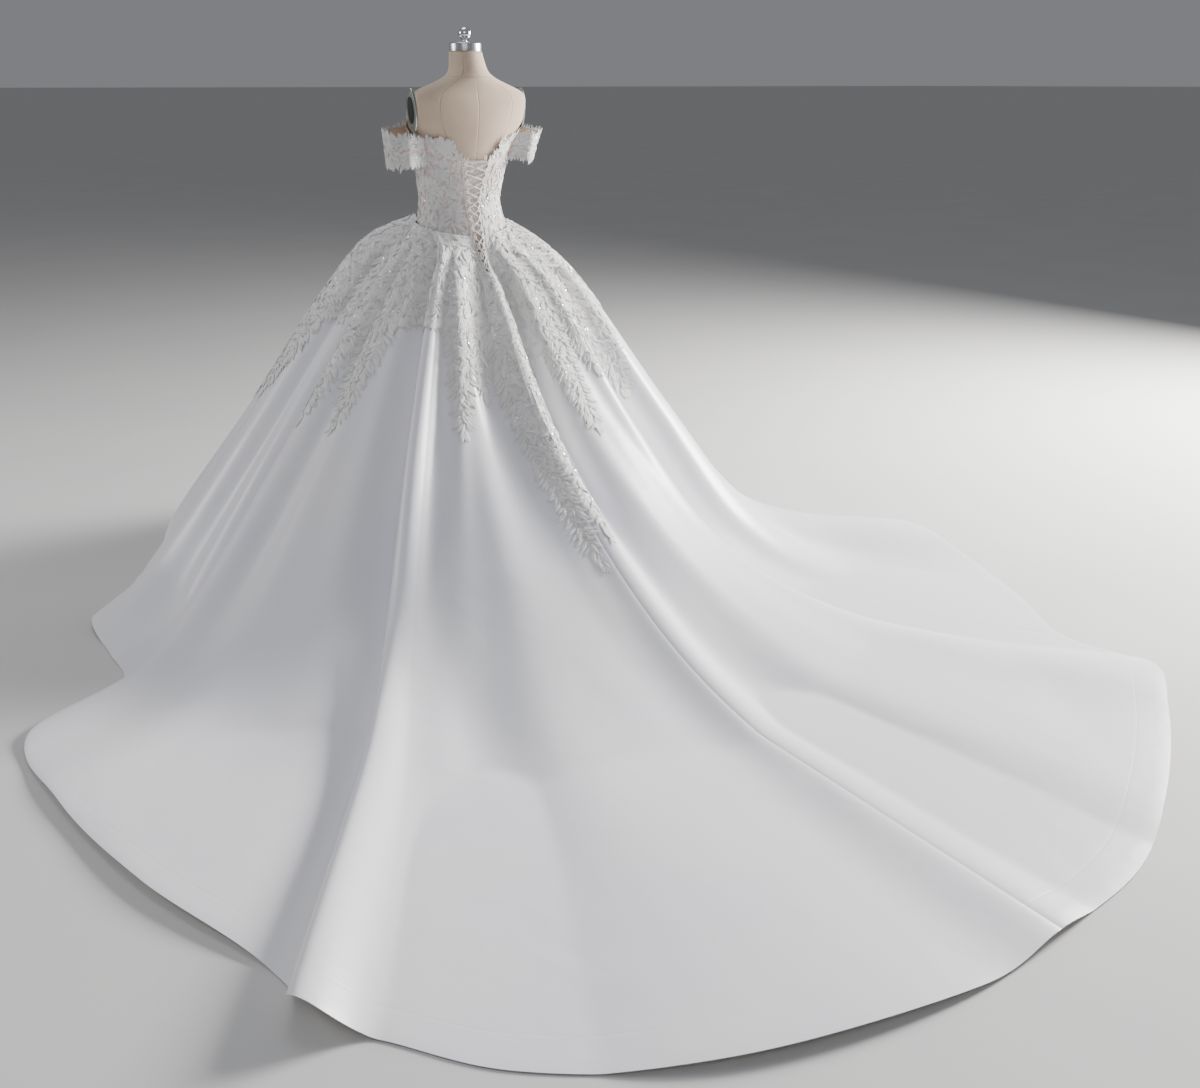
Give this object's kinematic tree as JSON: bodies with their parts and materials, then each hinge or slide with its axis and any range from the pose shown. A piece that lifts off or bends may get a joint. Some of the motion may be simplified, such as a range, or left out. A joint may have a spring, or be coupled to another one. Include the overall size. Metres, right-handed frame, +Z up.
{
  "type": "wedding dress on a dress form",
  "caption": "Ball gown with a long train, off-the-shoulder lace sleeves and a laced back, worn by a limbless dress form on a pole stand.",
  "frame": {"origin": "on the floor, at the middle of the stand's base", "axes": "+Z up, +Y towards the end of the train, +X towards the wearer's left"},
  "size_m": [2.8196, 3.2889, 1.5956],
  "materials": {
    "satin": "heavy white satin with a soft sheen",
    "lace": "off-white corded leaf lace",
    "nude": "matt lining with a lace cover",
    "cord": "satin cord",
    "linen": "plain linen cover",
    "steel": "brushed",
    "chrome": "polished",
    "dark": "matt"
  },
  "bodies": {
    "root": {"bodice_back_left": "lace", "bodice_back_right": "lace", "bodice_front": "lace", "lacing_panel": "nude", "skirt_back_left": "satin", "skirt_side_back_left": "satin", "skirt_side_front_left": "satin", "skirt_front": "satin", "skirt_side_front_right": "satin", "skirt_side_back_right": "satin", "skirt_back_right": "satin", "skirt_lace_back_left": "lace", "skirt_lace_side_back_left": "lace", "skirt_lace_side_front_left": "lace", "skirt_lace_front": "lace", "skirt_lace_side_front_right": "lace", "skirt_lace_side_back_right": "lace", "skirt_lace_back_right": "lace", "loops_left": "cord", "loops_right": "cord", "lacing_cord": "cord", "sleeve_left": "lace", "sleeve_right": "lace", "form_body": "linen", "arm_plate_left": "steel", "arm_socket_left": "dark", "arm_plate_right": "steel", "arm_socket_right": "dark", "neck_cap": "steel", "finial": "chrome", "base_plate": "steel", "pole": "steel"}
  },
  "joints": []
}
